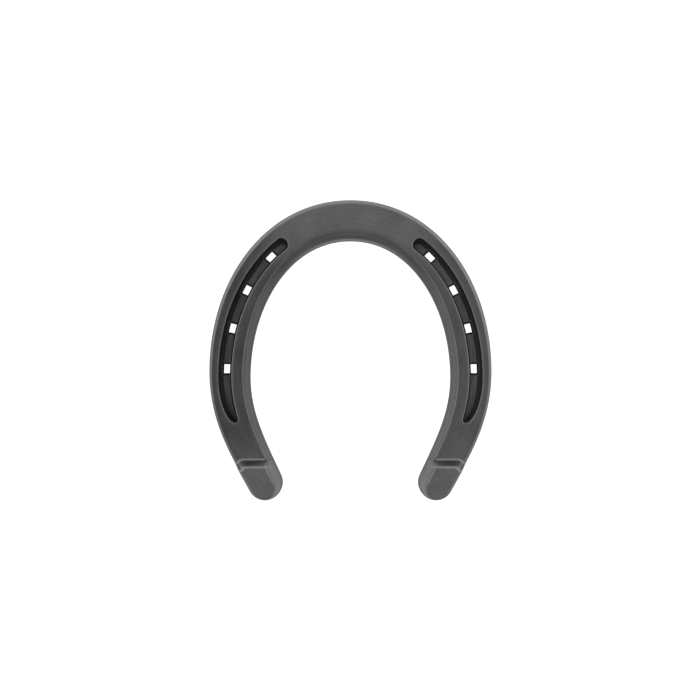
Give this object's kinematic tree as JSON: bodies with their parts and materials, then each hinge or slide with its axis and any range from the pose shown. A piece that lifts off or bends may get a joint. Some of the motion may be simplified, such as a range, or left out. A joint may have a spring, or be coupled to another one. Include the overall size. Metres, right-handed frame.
{
  "type": "horseshoe",
  "caption": "Forged steel horseshoe with a creased web, rectangular nail holes, a bevelled inner edge and a raised block at each heel.",
  "frame": {"origin": "On the hoof face, at the middle of the shoe's length and on its plane of symmetry", "axes": "+Y towards the toe, along the length; +Z out of the ground face, through the thickness; X across, with the shoe symmetric about X = 0"},
  "size_m": [0.13, 0.138, 0.013],
  "materials": {
    "forged_steel": "satin"
  },
  "bodies": {
    "root": {"horseshoe": "forged_steel"}
  },
  "joints": []
}
